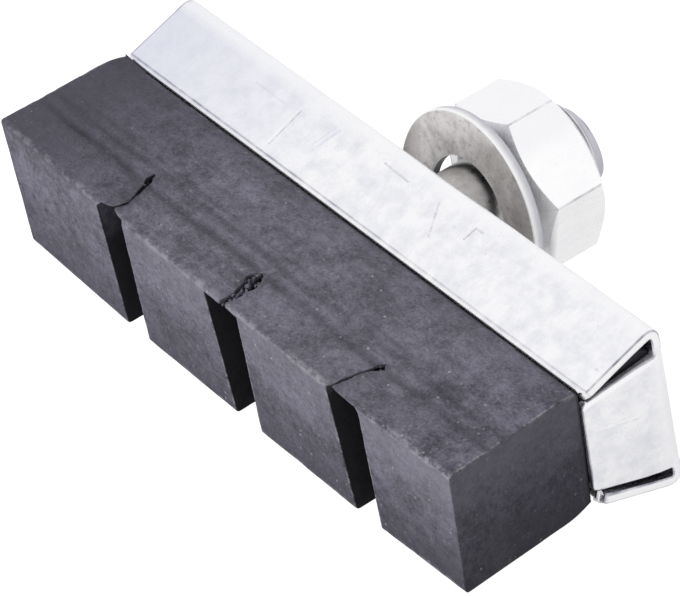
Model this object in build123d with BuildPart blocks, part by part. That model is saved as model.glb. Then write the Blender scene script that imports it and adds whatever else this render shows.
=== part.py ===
# Bicycle rim brake pad: a slotted rubber block held in a folded steel shoe, with its stud, washer and nut.
# X runs along the pad, +X towards the end that the shoe's tab closes. Y runs along the stud, and -Y is the
# side of the wheel rim. +Z is up. The origin is on the stud's axis, in the shoe's back face. Millimetres.
import os
from math import cos, radians, sin, sqrt, tan

from build123d import *

# Shoe: one folded sheet with two leaning flanges and a tab across one end
sheet = 0.62
shoe_height = 11.25
shoe_left = 23.6
shoe_right = 22.8
flange_reach = 5.5
flange_lean = radians(18.5)
bend_inside = 0.2
flange_corner = 0.3
tab_proud = 0.5
tab_reach = 5.7
tab_lean = radians(6)
tab_twist = radians(4)
tab_root = 8.2
tab_tip = 6.3
tab_corner = 0.25
stud_hole_gap = 0.1

# Rubber block: its ends stop a little short of the shoe's open end and of the tab
pad_inset = 0.3
pad_set_back = 0.05
pad_depth = 15.3
pad_half_height = 4.6
shoulder_back = 7.8
shoulder_radius = 5.0
mouth_gap = 0.15
foot_gap = 0.05
tab_gap = 0.05
foot_corner = 0.7
face_flat = 12.2
face_ease = 0.31
end_rake = radians(4.5)
end_skew = radians(3.4)
face_edge = 0.25

# Cross slots of the rubber, from the open end to the tab
slot_centres = (-10.6, 1.25, 13.4)
slot_widths = (2.75, 3.35, 2.95)
slot_depth = 3.8
slot_draft = 2.5
slot_floor_radius = 0.5
slot_web = 0.35

# Stud, M6
stud_radius = 3.0
stud_length = 10.95
stud_end_chamfer = 0.5
head_radius = 4.1
head_thickness = 1.4
head_edge = 0.3
head_gap = 0.1

# Nut, M6 with 10 mm across flats
nut_flats = 10.0
nut_thickness = 5.0
nut_place = 4.5
nut_corner_angle = 12.5
nut_face_radius = 4.2
nut_chamfer = radians(30)
nut_bore_gap = 0.05
nut_bore_chamfer = 0.4

# Washer, loose on the stud: it hangs by its hole and leans
washer_radius = 6.5
washer_hole_radius = 3.6
washer_thickness = 0.7
washer_place = 2.5
washer_lean = 11.1
washer_twist = 2.0
washer_gap = 0.05
washer_edge = 0.12

# How far a cutting shape reaches past what it cuts
past = 2.0

# Lines of the shoe's section: the outer bend, the outer corner that the bend rounds, and the mouth
bend_outside = bend_inside + sheet
bend_height = shoe_height / 2 - bend_outside
corner_height = bend_height + bend_outside * (1 + sin(flange_lean)) / cos(flange_lean)
mouth_height = corner_height - flange_reach * tan(flange_lean)

# Ends of the tab and of the rubber
tab_outer = shoe_right + tab_proud
pad_left = shoe_left - pad_inset
pad_right = tab_outer - pad_set_back


def flange_inside(y):
    """Half height between the flanges' inner faces at y."""
    return bend_height + (bend_inside + (y + bend_outside) * sin(flange_lean)) / cos(flange_lean)


def lean_at(z):
    """Lean of the tab at z: its lower side is pressed further in, onto the rubber's slanted end."""
    return tab_lean + tab_twist * (tab_root / 2 - z) / tab_root


def tab_outside(y, z):
    """Place along X of the tab's outer face at y and z."""
    return tab_outer + y * tan(lean_at(z))


# Tab: bent round from the back plate, tapered towards its tip and leaning in over the rubber's end
with BuildPart() as tab:
    for z in (-tab_root / 2, tab_root / 2):
        with BuildSketch(Plane.XY.offset(z)):
            with BuildLine():
                folded = FilletPolyline(
                    (shoe_right - bend_outside - past, 0),
                    (tab_outer, 0),
                    (tab_outside(-tab_reach - past, z), -tab_reach - past),
                    radius=bend_outside,
                )
                offset(folded, amount=sheet, side=Side.RIGHT, closed=True)
            make_face()
    loft(ruled=True)
    with BuildSketch(Plane.YZ):
        with BuildLine():
            Polyline(
                (past, -tab_root / 2),
                (-bend_outside, -tab_root / 2),
                (-tab_reach, -tab_tip / 2),
                (-tab_reach, tab_tip / 2),
                (-bend_outside, tab_root / 2),
                (past, tab_root / 2),
                close=True,
            )
        tab_outline = make_face()
        fillet(tab_outline.vertices().group_by(Axis.X)[0], tab_corner)
    extrude(amount=tab_outer + past, mode=Mode.INTERSECT)

# Shoe: the channel's section along the pad, the stud's hole and the tab
with BuildPart() as shoe:
    with BuildSketch(Plane.YZ.offset(-shoe_left)):
        with BuildLine():
            channel = FilletPolyline(
                (-flange_reach, mouth_height),
                (0, corner_height),
                (0, -corner_height),
                (-flange_reach, -mouth_height),
                radius=bend_outside,
            )
            offset(channel, amount=sheet, side=Side.RIGHT, closed=True)
        make_face()
    extrude(amount=shoe_left + shoe_right)
    mouth_corners = shoe.edges().filter_by(
        lambda e: abs(e.length - sheet) < sheet / 10 and e.center().Y < -flange_reach + sheet
    )
    fillet(mouth_corners, flange_corner)
    add(tab.part)
    with Locations(Plane.XZ):
        Hole(stud_radius + stud_hole_gap)
shoe.part.label = "shoe"

# Rubber block: one section from the braking face to the foot that the shoe's flanges hold
shoulder_run = shoulder_back - flange_reach - mouth_gap
shoulder_drop = shoulder_radius - sqrt(shoulder_radius**2 - shoulder_run**2)
mouth_front = -flange_reach - mouth_gap
foot_back = -sheet - foot_gap
foot_slack = foot_gap / cos(flange_lean)
with BuildPart() as rubber_block:
    with BuildSketch(Plane.YZ.offset(-pad_left)):
        with BuildLine():
            Polyline((-pad_depth, 0), (-pad_depth, pad_half_height), (-shoulder_back, pad_half_height))
            shoulder = RadiusArc(
                (-shoulder_back, pad_half_height),
                (mouth_front, pad_half_height - shoulder_drop),
                shoulder_radius,
            )
            Polyline(
                shoulder @ 1,
                (mouth_front, flange_inside(mouth_front) - foot_slack),
                (foot_back, flange_inside(foot_back) - foot_slack),
                (foot_back, 0),
            )
            mirror(about=Plane.XZ)
        section = make_face()
        fillet(section.vertices().group_by(Axis.X)[0], face_edge)
    extrude(amount=pad_left + pad_right + past)
    foot_edges = rubber_block.edges().filter_by(Axis.X).filter_by(
        lambda e: e.center().Y > foot_back - sheet / 10
    )
    fillet(foot_edges, foot_corner)
    # The moulded end faces away from square, lower and further back
    end_normal = Vector(1, tan(end_skew), -tan(end_rake))
    split(
        bisect_by=Plane(origin=(pad_right, -pad_depth, pad_half_height), z_dir=end_normal),
        keep=Keep.BOTTOM,
    )
    # The braking face is flat in the middle and eases back towards both ends
    for side in (-1, 1):
        ease_normal = Vector(side * face_ease, -(pad_left - face_flat), 0)
        split(
            bisect_by=Plane(origin=(side * face_flat, -pad_depth, 0), z_dir=ease_normal),
            keep=Keep.BOTTOM,
        )
    # Slots: open at the braking face and below, closed above by a thin web
    for centre, width in zip(slot_centres, slot_widths):
        with BuildSketch(Plane.XY.offset(pad_half_height - slot_web)):
            with Locations((centre, -pad_depth + slot_depth)):
                slot = Rectangle(width, slot_depth + past, align=(Align.CENTER, Align.MAX))
            fillet(slot.vertices().group_by(Axis.Y)[-1], slot_floor_radius)
        extrude(amount=-2 * pad_half_height - past, taper=slot_draft, mode=Mode.SUBTRACT)
    # Room at the closed end for the leaning tab
    tab_front = -tab_reach - tab_gap
    corner_front = foot_back - foot_corner
    for z in (-shoe_height / 2, shoe_height / 2):
        tab_inside = sheet / cos(lean_at(z)) + foot_gap
        corner_end = tab_outside(corner_front, z) - tab_inside
        with BuildSketch(Plane.XY.offset(z)):
            with BuildLine():
                Polyline(
                    (corner_end - foot_corner, past),
                    (corner_end - foot_corner, foot_back),
                    (corner_end, corner_front),
                    (tab_outside(tab_front, z) - tab_inside, tab_front),
                    (pad_right + past, tab_front),
                    (pad_right + past, past),
                    close=True,
                )
            make_face()
    loft(ruled=True, mode=Mode.SUBTRACT)
    # Pocket for the stud's head
    with BuildSketch(Plane.XZ.offset(-foot_back)):
        Circle(head_radius + head_gap)
    extrude(amount=head_thickness + head_gap - foot_gap, mode=Mode.SUBTRACT)
rubber_block.part.label = "rubber_block"

# Stud: a flat head inside the shoe, and a shank that passes out through the back
with BuildPart() as stud:
    with BuildSketch(Plane.XZ.offset(sheet)):
        Circle(head_radius)
    extrude(amount=head_thickness)
    chamfer(stud.edges().group_by(Axis.Y)[0], head_edge)
    with BuildSketch(Plane.XZ.offset(sheet)):
        Circle(stud_radius)
    extrude(amount=-(stud_length + sheet))
    chamfer(stud.edges().group_by(Axis.Y)[-1], stud_end_chamfer)
stud.part.label = "stud"

# Washer: its hole's upper edge sits on the stud
lean = radians(washer_lean)
hang = stud_radius + washer_gap + washer_thickness * sin(lean) - washer_hole_radius * cos(lean)
washer_plane = Plane(
    Location((0, washer_place, hang), (-washer_lean, 0, washer_twist)) * Plane.XZ.location
)
with BuildPart() as washer:
    with BuildSketch(washer_plane):
        Circle(washer_radius)
        Circle(washer_hole_radius, mode=Mode.SUBTRACT)
    extrude(amount=-washer_thickness)
    fillet(washer.edges(), washer_edge)
washer.part.label = "washer"

# Nut: a hexagon turned down at both ends, with a countersunk bore
nut_corner_radius = nut_flats / sqrt(3)
nut_corner_drop = (nut_corner_radius - nut_face_radius + past) * tan(nut_chamfer)
with BuildPart() as nut:
    with BuildSketch(Plane.XZ.offset(-nut_place)):
        RegularPolygon(nut_flats / 2, 6, major_radius=False, rotation=nut_corner_angle)
    extrude(amount=-nut_thickness)
    with BuildSketch(Plane.XY):
        with BuildLine():
            Polyline(
                (0, nut_place),
                (nut_face_radius, nut_place),
                (nut_corner_radius + past, nut_place + nut_corner_drop),
                (nut_corner_radius + past, nut_place + nut_thickness - nut_corner_drop),
                (nut_face_radius, nut_place + nut_thickness),
                (0, nut_place + nut_thickness),
                close=True,
            )
        make_face()
    revolve(axis=Axis.Y, mode=Mode.INTERSECT)
    with Locations(Plane.XZ.offset(-nut_place)):
        Hole(stud_radius + nut_bore_gap)
    bore_edges = nut.edges().filter_by(GeomType.CIRCLE).filter_by(
        lambda e: abs(e.radius - stud_radius - nut_bore_gap) < nut_bore_gap
    )
    chamfer(bore_edges, nut_bore_chamfer)
nut.part.label = "nut"

os.makedirs("parts", exist_ok=True)
export_step(rubber_block.part, "parts/rubber_block.step")
export_step(shoe.part, "parts/shoe.step")
export_step(stud.part, "parts/stud.step")
export_step(washer.part, "parts/washer.step")
export_step(nut.part, "parts/nut.step")
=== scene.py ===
# %% [markdown]
# A bicycle rim brake pad: a slotted rubber block in a folded, zinc plated shoe, with a stud, a washer and a nut.
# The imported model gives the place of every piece, in metres. Its box is kept, because the finished pieces
# must stay inside it.

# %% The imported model
import math
import random

import bmesh
import bpy
from mathutils import Matrix, Quaternion, Vector, noise


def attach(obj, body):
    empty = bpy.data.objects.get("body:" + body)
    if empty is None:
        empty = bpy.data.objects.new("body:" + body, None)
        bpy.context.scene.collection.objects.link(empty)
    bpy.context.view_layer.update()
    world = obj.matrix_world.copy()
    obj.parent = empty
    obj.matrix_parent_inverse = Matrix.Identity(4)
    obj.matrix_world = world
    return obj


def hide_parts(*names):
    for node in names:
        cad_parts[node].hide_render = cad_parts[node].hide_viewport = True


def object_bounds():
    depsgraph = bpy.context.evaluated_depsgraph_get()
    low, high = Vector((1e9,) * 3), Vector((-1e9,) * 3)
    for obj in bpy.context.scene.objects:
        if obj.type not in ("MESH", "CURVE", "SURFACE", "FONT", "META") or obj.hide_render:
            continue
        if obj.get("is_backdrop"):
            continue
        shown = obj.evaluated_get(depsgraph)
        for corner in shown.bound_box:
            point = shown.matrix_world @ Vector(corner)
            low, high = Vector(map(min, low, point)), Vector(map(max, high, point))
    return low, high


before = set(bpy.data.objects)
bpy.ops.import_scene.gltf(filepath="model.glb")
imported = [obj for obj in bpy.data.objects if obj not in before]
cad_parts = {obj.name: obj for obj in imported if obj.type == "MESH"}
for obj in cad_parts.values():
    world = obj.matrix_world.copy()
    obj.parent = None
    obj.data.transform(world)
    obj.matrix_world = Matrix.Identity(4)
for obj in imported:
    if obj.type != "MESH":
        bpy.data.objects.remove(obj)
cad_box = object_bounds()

MM = 0.001
print("CAD box, mm:", [[round(v / MM, 2) for v in corner] for corner in cad_box])

# %% [markdown]
# Photographs of small parts are taken from some way off with a long lens, so parallel edges stay nearly
# parallel. The camera looks down on the corner where the braking face and the tab end meet. It is rolled, so
# the pad runs across the picture from corner to corner.

# %% Camera
view_back = Vector((0.69722, -0.36108, 0.61927))
view_target = Vector((-1.19, -6.39, -2.12)) * MM
view_distance = 268.5 * MM
view_roll = math.radians(-12.58)
scene = bpy.context.scene
camera_data = bpy.data.cameras.new("camera")
camera_data.lens = 240.88
camera_data.sensor_width = 36
camera_data.clip_start = 0.01
camera_data.clip_end = 20
camera = bpy.data.objects.new("camera", camera_data)
camera.location = view_target + view_back * view_distance
camera.rotation_mode = "QUATERNION"
camera.rotation_quaternion = view_back.to_track_quat("Z", "Y") @ Quaternion((0, 0, 1), view_roll)
scene.collection.objects.link(camera)
scene.camera = camera
print("camera stands", round(view_distance / MM), "mm from the pad")

# %% [markdown]
# Every finish below is a small tree of nodes. These helpers add a node, link or set its inputs, and give the
# few patterns that all the finishes share. Patterns are measured in millimetres on the piece itself.

# %% Helpers for finishes
def add_node(tree, kind, inputs=None, **settings):
    """Adds a node. A socket given as an input is linked, and any other value is set."""
    node = tree.nodes.new(kind)
    for name, value in settings.items():
        setattr(node, name, value)
    for name, value in (inputs or {}).items():
        if isinstance(value, bpy.types.NodeSocket):
            tree.links.new(value, node.inputs[name])
        else:
            node.inputs[name].default_value = value
    return node


def new_finish(name):
    """A material, its tree, its shader and the place on the piece in millimetres."""
    material = bpy.data.materials.new(name)
    material.use_nodes = True
    tree = material.node_tree
    shader = tree.nodes["Principled BSDF"]
    place = add_node(tree, "ShaderNodeTexCoord").outputs["Object"]
    place = stretch(tree, place, (1 / MM, 1 / MM, 1 / MM))
    return material, tree, shader, place


def stretch(tree, place, scale, turn=(0, 0, 0), shift=(0, 0, 0)):
    """A place scaled, turned or moved, so that a pattern on it is drawn out along one direction."""
    inputs = {"Vector": place, "Scale": scale, "Rotation": turn, "Location": shift}
    return add_node(tree, "ShaderNodeMapping", inputs).outputs["Vector"]


def cloudy(tree, place, scale, detail=3.0, roughness=0.5):
    """Soft noise from 0 to 1."""
    inputs = {"Vector": place, "Scale": scale, "Detail": detail, "Roughness": roughness}
    return add_node(tree, "ShaderNodeTexNoise", inputs).outputs["Fac"]


def between(tree, value, low, high, to_low=0.0, to_high=1.0):
    """Spreads a value from its range between low and high to another range, and clamps it."""
    inputs = {"Value": value, "From Min": low, "From Max": high, "To Min": to_low, "To Max": to_high}
    return add_node(tree, "ShaderNodeMapRange", inputs).outputs["Result"]


def sums(tree, operation, first, second=0.0):
    """One step of arithmetic."""
    node = add_node(tree, "ShaderNodeMath", operation=operation)
    for socket, value in zip(node.inputs, (first, second)):
        if isinstance(value, bpy.types.NodeSocket):
            tree.links.new(value, socket)
        else:
            socket.default_value = value
    return node.outputs["Value"]


def tint(tree, amount, first, second):
    """Mixes two colours, each a colour or a socket."""
    node = add_node(tree, "ShaderNodeMix", data_type="RGBA")
    for index, value in ((0, amount), (6, first), (7, second)):
        if isinstance(value, bpy.types.NodeSocket):
            tree.links.new(value, node.inputs[index])
        else:
            node.inputs[index].default_value = value if index == 0 else (*value, 1)
    return node.outputs[2]


def specks(tree, place, scale, size, share):
    """Small round spots: the middles of some of a Voronoi pattern's cells."""
    cells = add_node(tree, "ShaderNodeTexVoronoi", {"Vector": place, "Scale": scale})
    spot = between(tree, cells.outputs["Distance"], size, size * 0.5)
    pick = add_node(tree, "ShaderNodeSeparateColor", {"Color": cells.outputs["Color"]}).outputs["Red"]
    chosen = sums(tree, "GREATER_THAN", pick, 1 - share)
    return sums(tree, "MULTIPLY", spot, chosen)


def bump(tree, shader, height, depth_mm, strength=1.0):
    """Lets a pattern of heights turn the surface's light."""
    inputs = {"Height": height, "Distance": depth_mm * MM, "Strength": strength}
    node = add_node(tree, "ShaderNodeBump", inputs)
    tree.links.new(node.outputs["Normal"], shader.inputs["Normal"])


# %% [markdown]
# A piece is drawn in millimetres, as a bmesh, and is then brought to metres. Its object stays at the origin.

# %% Helper for pieces
def make_piece(name, bm, node, finish, smooth_angle=math.radians(35)):
    """Turns a bmesh drawn in millimetres into a piece that stands for a CAD node."""
    bmesh.ops.scale(bm, vec=(MM, MM, MM), verts=bm.verts)
    mesh = bpy.data.meshes.new(name)
    bm.to_mesh(mesh)
    bm.free()
    mesh.materials.append(finish)
    mesh.shade_smooth()
    mesh.set_sharp_from_angle(angle=smooth_angle)
    piece = bpy.data.objects.new(name, mesh)
    scene.collection.objects.link(piece)
    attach(piece, "root")
    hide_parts(node)
    print(name, "has", len(mesh.polygons), "faces")
    return piece


def everything(bm):
    """All of a bmesh's geometry, as the cutting operators take it."""
    return bm.verts[:] + bm.edges[:] + bm.faces[:]


def pull(bm, faces, move, grow=(1, 1, 1)):
    """Extrudes faces, moves and scales what was pulled out, and returns its faces."""
    edges = {e for f in faces for e in f.edges}
    verts = {v for f in faces for v in f.verts}
    pulled = bmesh.ops.extrude_face_region(bm, geom=[*faces, *edges, *verts])["geom"]
    moved = [v for v in pulled if isinstance(v, bmesh.types.BMVert)]
    bmesh.ops.translate(bm, vec=move, verts=moved)
    bmesh.ops.scale(bm, vec=grow, verts=moved)
    return [f for f in pulled if isinstance(f, bmesh.types.BMFace)]


# %% [markdown]
# The rubber is moulded and has been scuffed against other pads in a bag. It is dark grey and matt, in soft
# patches, with a fine grain, pale dust in its pores and faint flow marks along the top. It is darker towards the
# open end. Its upright faces get painted light towards the top and painted shade towards the bottom, and painted
# shade makes the slots black inside. Noise of three sizes is added up to one tone, and attributes of the mesh say
# where the edges, the upright faces and the painted shade are.

# %% Finish of the rubber
rubber_finish, tree, shader, place = new_finish("rubber_finish")
axes = add_node(tree, "ShaderNodeSeparateXYZ", {"Vector": place})
patches = cloudy(tree, place, 0.4, 3.0, 0.5)
drawn_out = stretch(tree, place, (0.8, 1, 1))
blotches = cloudy(tree, drawn_out, 1.7, 4.0, 0.65)
grain = cloudy(tree, drawn_out, 6.0, 3.0, 0.7)
flow = cloudy(tree, stretch(tree, place, (0.18, 2.0, 1.0)), 1.0, 4.0, 0.6)
level = sums(tree, "ADD", sums(tree, "ADD", patches, blotches), grain)
tone = tint(tree, between(tree, level, 1.2, 1.8), (0.042, 0.039, 0.056), (0.22, 0.21, 0.268))
on_top = between(tree, axes.outputs["Z"], 4.1, 4.4)
streaks = sums(tree, "MULTIPLY", on_top, between(tree, flow, 0.5, 0.68, 0.0, 0.35))
tone = tint(tree, streaks, tone, (0.055, 0.052, 0.07))
at_open_end = sums(tree, "MULTIPLY", on_top, between(tree, axes.outputs["X"], -21.0, -8.0, 0.85, 0.0))
tone = tint(tree, at_open_end, tone, (0.07, 0.067, 0.088))
mid_top = sums(tree, "MULTIPLY", on_top, between(tree, axes.outputs["X"], -13.0, -4.0, 0.0, 0.13))
mid_top = sums(tree, "MULTIPLY", mid_top, between(tree, axes.outputs["X"], 21.0, 14.0, 0.2, 1.0))
tone = tint(tree, mid_top, tone, (0.32, 0.31, 0.36))
# Painted light and painted shade: the upright faces are painted paler towards the top and darker towards the bottom.
upright = add_node(tree, "ShaderNodeAttribute", attribute_name="side").outputs["Fac"]
painted_shading = sums(tree, "MULTIPLY", upright, between(tree, axes.outputs["Z"], -0.5, 3.6, 0.0, 0.27))
painted_shading = sums(tree, "MULTIPLY", painted_shading, between(tree, axes.outputs["X"], -16.0, -6.0, 0.15, 1.0))
painted_shading = sums(tree, "MULTIPLY", painted_shading, between(tree, axes.outputs["X"], 12.0, 22.5, 1.0, 1.6))
tone = tint(tree, painted_shading, tone, (0.36, 0.35, 0.42))
lower = sums(tree, "MULTIPLY", upright, between(tree, axes.outputs["Z"], 1.0, -4.4, 0.0, 0.62))
lower = sums(tree, "MULTIPLY", lower, between(tree, axes.outputs["X"], -5.0, 20.0, 1.0, 1.3))
tone = tint(tree, lower, tone, (0.03, 0.028, 0.042))
worn = add_node(tree, "ShaderNodeAttribute", attribute_name="edge").outputs["Fac"]
worn = sums(tree, "MULTIPLY", worn, between(tree, blotches, 0.44, 0.6))
worn = sums(tree, "MULTIPLY", worn, between(tree, axes.outputs["X"], -8.0, 12.0, 0.4, 0.9))
tone = tint(tree, worn, tone, (0.4, 0.39, 0.42))
dusty = between(tree, axes.outputs["X"], -14.0, 2.0, 0.35, 1.0)
for scale, size, share, strength in ((2.1, 0.2, 0.3, 0.3), (1.3, 0.14, 0.3, 0.6), (0.8, 0.09, 0.4, 0.8)):
    dust = sums(tree, "MULTIPLY", specks(tree, place, scale, size, share), dusty)
    tone = tint(tree, sums(tree, "MULTIPLY", dust, strength), tone, (0.48, 0.47, 0.5))
for scale, size, share in ((1.1, 0.16, 0.3), (2.3, 0.22, 0.3)):
    pits = specks(tree, stretch(tree, place, (1, 1, 1), (0, 0, 0), (5, 2, 7)), scale, size, share)
    tone = tint(tree, sums(tree, "MULTIPLY", pits, 0.45), tone, (0.03, 0.028, 0.038))
# Painted shade: where the mesh is marked, the tone is painted nearly black.
painted_shade = add_node(tree, "ShaderNodeAttribute", attribute_name="slot").outputs["Fac"]
tone = tint(tree, sums(tree, "MULTIPLY", painted_shade, 0.96), tone, (0.048, 0.045, 0.054))
tree.links.new(tone, shader.inputs["Base Color"])
tree.links.new(between(tree, patches, 0.3, 0.7, 0.6, 0.78), shader.inputs["Roughness"])
tree.links.new(between(tree, painted_shade, 0.0, 1.0, 0.3, 0.0), shader.inputs["Specular IOR Level"])
relief = sums(tree, "ADD", sums(tree, "MULTIPLY", blotches, 0.8), sums(tree, "MULTIPLY", grain, 0.5))
bump(tree, shader, relief, 0.08, 0.9)
print("rubber finish has", len(tree.nodes), "nodes")

# %% [markdown]
# The block starts as a bar behind the slots. In the mould a thin web of rubber closed the top of each slot, and
# it tore when the pad came out. So the bar is cut at the slots' walls, at both sides of each tear and at the
# webs' lower face. That leaves a front face for each tooth and each half of a web, and those faces are pulled
# out to the braking face. The back is pulled out in steps, and each step is made narrower or wider, for the
# shoulder, the waist and the foot inside the shoe.

# %% Rubber block: the shape
pad_left = 23.3
pad_right = 23.23
pad_depth = 15.3
pad_half_height = 4.6
slot_centres = (-10.6, 1.25, 13.4)
slot_widths = (2.75, 3.35, 2.95)
slot_depth = 3.8
slot_web = 0.35
tear_middles = (-11.1, 1.4, 12.8)
tear_gap = 0.12
shoulder_back = 7.8
shoulder_radius = 5.0
mouth_front = -5.65
mouth_edge = -5.8
mouth_drop = 0.2
waist_half_height = 3.1
foot_half_height = 4.6
foot_back = -0.7
bar_front = slot_depth - pad_depth
web_bottom = pad_half_height - slot_web
slots = list(zip(slot_centres, slot_widths, tear_middles))


def has_rubber(x, z):
    """Whether the braking side has rubber at a place: a slot has only its torn web."""
    for centre, width, tear in slots:
        if abs(x - centre) < width / 2:
            return z > web_bottom and abs(x - tear) > tear_gap / 2
    return True


def shoulder_height(y):
    """Half height of the rounded shoulder at y."""
    run = y + shoulder_back
    return pad_half_height - shoulder_radius + math.sqrt(shoulder_radius**2 - run**2)


rubber = bmesh.new()
edge_mark = rubber.verts.layers.float.new("edge")
painted_shade_mark = rubber.verts.layers.float.new("slot")
side_mark = rubber.verts.layers.float.new("side")
foot_mark = rubber.verts.layers.float.new("foot")
bmesh.ops.create_cube(rubber, size=1)
bar_size = (pad_left + pad_right, -shoulder_back - bar_front, 2 * pad_half_height)
bmesh.ops.scale(rubber, vec=bar_size, verts=rubber.verts)
bar_middle = ((pad_right - pad_left) / 2, (bar_front - shoulder_back) / 2, 0)
bmesh.ops.translate(rubber, vec=bar_middle, verts=rubber.verts)
for centre, width, tear in slots:
    for x in (centre - width / 2, tear - tear_gap / 2, tear + tear_gap / 2, centre + width / 2):
        bmesh.ops.bisect_plane(rubber, geom=everything(rubber), plane_co=(x, 0, 0), plane_no=(1, 0, 0))
bmesh.ops.bisect_plane(rubber, geom=everything(rubber), plane_co=(0, 0, web_bottom), plane_no=(0, 0, 1))
fronts = [f for f in rubber.faces if f.normal.y < -0.9]
middles = [f.calc_center_median() for f in fronts]
teeth = [f for f, middle in zip(fronts, middles) if has_rubber(middle.x, middle.z)]
pull(rubber, teeth, (0, -slot_depth, 0))

steps = [(y, shoulder_height(y), 0) for y in (-7.4, -7.0, -6.6, -6.2, mouth_edge)]
steps += [(mouth_front, shoulder_height(mouth_front) - mouth_drop, 0)]
steps += [(mouth_front, waist_half_height, 1), (-1.4, foot_half_height, 1), (foot_back, 4.0, 1)]
here_y, here_z = -shoulder_back, pad_half_height
back = [f for f in rubber.faces if f.normal.y > 0.9]
for y, z, in_shoe in steps:
    back = pull(rubber, back, (0, y - here_y, 0), (1, 1, z / here_z))
    here_y, here_z = y, z
    for vert in {v for f in back for v in f.verts}:
        vert[foot_mark] = in_shoe
open_edges = [e for e in rubber.edges if len(e.link_faces) != 2]
print("rubber block: faces", len(rubber.faces), "open edges", len(open_edges))

# %% [markdown]
# The mould rounds the long edges of the braking face. To carry the tears, shallow grooves and worn edges, the
# block's faces are then cut into a fine grid. Its other sharp edges are rounded a little. All rounded edges are
# marked, so that the finish can scuff them, and the insides of the slots are marked for painted shade.

# %% Rubber block: rounded edges and fine grid
face_edge = 0.22
grid_step = 0.2


def on_long_edge(co):
    """Whether a point is on one of the two long edges of the braking face."""
    return co.y < 0.01 - pad_depth and abs(abs(co.z) - pad_half_height) < 0.01


long_edges = [e for e in rubber.edges if on_long_edge(e.verts[0].co) and on_long_edge(e.verts[1].co)]
bmesh.ops.bevel(
    rubber, geom=long_edges, offset=face_edge, offset_type="OFFSET", segments=3, profile=0.5, affect="EDGES",
    clamp_overlap=True, material=-1,
)
for axis in range(3):
    by_place = {}
    for edge in rubber.edges:
        along = edge.verts[1].co - edge.verts[0].co
        if abs(along[axis]) > 0.9 * along.length:
            middle = round((edge.verts[0].co[axis] + edge.verts[1].co[axis]) / 2, 2)
            by_place.setdefault(middle, []).append(edge)
    for edges in by_place.values():
        cuts = round(max(e.calc_length() for e in edges) / grid_step) - 1
        if cuts > 0 and (axis != 1 or edges[0].verts[0].co.y < mouth_front):
            bmesh.ops.subdivide_edges(rubber, edges=edges, cuts=cuts, use_grid_fill=True)
for vert in rubber.verts:
    to_front = vert.co.y + pad_depth
    to_top = pad_half_height - abs(vert.co.z)
    if max(to_front, to_top) < face_edge + 0.01:
        vert[edge_mark] = 0.6
sharp = [e for e in rubber.edges if e.calc_face_angle_signed() > math.radians(40)]
sharp = [e for e in sharp if (e.verts[0].co.y + e.verts[1].co.y) / 2 < mouth_front - 0.1]
rounded = bmesh.ops.bevel(
    rubber, geom=sharp, offset=0.07, offset_type="OFFSET", segments=2, profile=0.5, affect="EDGES",
    clamp_overlap=True, material=-1,
)
for vert in rounded["verts"]:
    at_end = vert.co.x > pad_right - 0.1 or vert.co.x < 0.1 - pad_left
    vert[edge_mark] = 0.12 if at_end and vert.co.z < web_bottom else 1.0
# Painted shade: the insides of the slots are marked to be painted black.
for vert in rubber.verts:
    for centre, width, tear in slots:
        in_slot = abs(vert.co.x - centre) < width / 2 + 0.01 and vert.co.z < web_bottom + 0.01
        if in_slot and 0.05 - pad_depth < vert.co.y < bar_front + 0.01:
            vert[painted_shade_mark] = 1.0
print("rubber block: grid of", len(rubber.faces), "faces")

# %% [markdown]
# Each tear wanders, is wider in places, and its flaps are ragged, thin and hang a little. The points of a web
# are moved in proportion: those at the wall stay, and those at the tear follow its line. A tear is a list of
# points from the front to its end, each with its place along Y and X and the width of the gap there.

# %% Rubber block: the torn webs
tears = (
    ((-15.0, -10.7, 0.02), (-14.1, -10.42, 0.01), (-13.3, -10.65, 0.02), (-12.7, -10.9, 0.1),
     (-12.25, -11.1, 0.45), (-11.85, -11.3, 0.5), (-11.55, -11.4, 0.15), (-11.1, -11.42, 0.06)),
    ((-15.25, 1.5, 0.5), (-14.7, 1.65, 0.6), (-13.6, 1.5, 1.0), (-12.9, 1.3, 1.3),
     (-12.45, 1.15, 0.95), (-12.1, 1.2, 0.3)),
    ((-15.1, 12.18, 0.03), (-14.6, 12.24, 0.12), (-14.0, 12.32, 0.16), (-13.4, 12.46, 0.1),
     (-13.0, 12.58, 0.01), (-12.75, 12.7, 0.1), (-12.5, 12.85, 0.5), (-12.1, 13.05, 0.75), (-11.8, 13.15, 0.4)),
)
flap_drops = ((0.0, 0.1), (0.06, -0.06), (0.0, 0.06))
flap_shares = ((0.05, 0.4), (1.0, 1.0), (0.05, 0.1))
flap_recesses = (0.2, 0.0, 0.05)
# Painted shade on each flap, left and right, growing towards the tear.
flap_painted_shade = ((0.6, 0.6), (0.3, 0.3), (0.1, 0.55))


def follow(points, where):
    """The values at a place on a line of points. Each point is its place and then its values there."""
    for (start, *before), (end, *after) in zip(points, points[1:]):
        if where <= end:
            share = max(0.0, (where - start) / (end - start))
            return [a + (b - a) * share for a, b in zip(before, after)]
    return points[-1][1:]


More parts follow.
